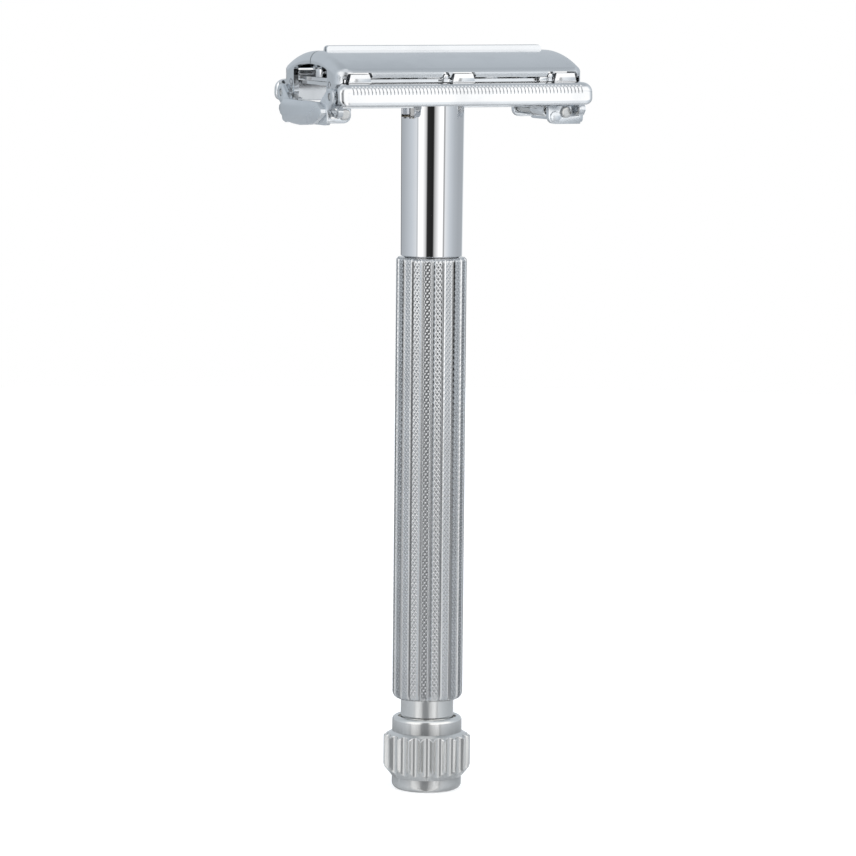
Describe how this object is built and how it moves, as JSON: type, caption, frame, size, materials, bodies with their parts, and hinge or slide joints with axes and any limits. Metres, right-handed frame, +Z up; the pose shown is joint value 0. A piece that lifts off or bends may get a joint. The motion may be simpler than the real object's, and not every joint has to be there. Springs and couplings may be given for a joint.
{
  "type": "safety razor",
  "caption": "Long-handled double-edge safety razor whose two curved doors open when the end knob is turned.",
  "frame": {"origin": "centre of the knob's flat foot, on the surface the razor stands on", "axes": "+Z up along the handle to the head, +X along the head's length, -Y towards the front edge"},
  "size_m": [0.0448, 0.025, 0.1153],
  "materials": {
    "mirror_chrome": "mirror polished plating",
    "head_chrome": "bright plating",
    "door_chrome": "soft polished plating",
    "bracket_chrome": "plated casting",
    "knurled_chrome": "plated fine diamond knurl",
    "turned_chrome": "plated over fine turning marks",
    "steel_hardware": "bright steel",
    "brass_fittings": "plain machined brass"
  },
  "bodies": {
    "handle": {"handle_tube": "mirror_chrome", "grip_sleeve": "knurled_chrome", "guide_bush_upper": "brass_fittings", "guide_bush_lower": "brass_fittings", "guard_plate": "head_chrome", "blade_bed": "head_chrome", "bed_rivet_1": "head_chrome", "bed_rivet_2": "head_chrome", "bed_rivet_3": "head_chrome", "bed_rivet_4": "head_chrome", "blade_stud_left": "head_chrome", "blade_stud_right": "head_chrome", "thrust_washer": "brass_fittings", "retaining_ring": "steel_hardware"},
    "knob": {"knob_body": "turned_chrome", "knob_thread_insert": "brass_fittings", "knob_end_cap": "turned_chrome"},
    "lifter": {"centre_rod": "steel_hardware", "cross_bar": "head_chrome", "end_bracket_right": "bracket_chrome", "cross_pin_right": "steel_hardware", "end_bracket_left": "bracket_chrome", "cross_pin_left": "steel_hardware", "hinge_pin_rear_a": "steel_hardware", "hinge_pin_rear_b": "steel_hardware", "hinge_pin_front_a": "steel_hardware", "hinge_pin_front_b": "steel_hardware"},
    "door_rear": {"door_rear": "door_chrome"},
    "door_front": {"door_front": "door_chrome"}
  },
  "joints": [
    {"name": "knob_turn", "type": "hinge", "parent": "handle", "child": "knob", "pos_m": [0, 0, 0], "axis": [0, 0, 1], "range_deg": [0, 540]},
    {"name": "head_lift", "type": "slide", "parent": "handle", "child": "lifter", "axis": [0, 0, 1], "range_m": [0, 0.003]},
    {"name": "door_rear_swing", "type": "hinge", "parent": "lifter", "child": "door_rear", "pos_m": [0, 0.0089, 0.1079], "axis": [-1, 0, 0], "range_deg": [0, 70]},
    {"name": "door_front_swing", "type": "hinge", "parent": "lifter", "child": "door_front", "pos_m": [0, -0.0089, 0.1079], "axis": [1, 0, 0], "range_deg": [0, 70]}
  ],
  "couplings": [
    {"joint": "knob_turn", "follows": "head_lift", "rad_per_m": 3141.6},
    {"joint": "door_rear_swing", "follows": "head_lift", "rad_per_m": 407.24},
    {"joint": "door_front_swing", "follows": "head_lift", "rad_per_m": 407.24}
  ]
}
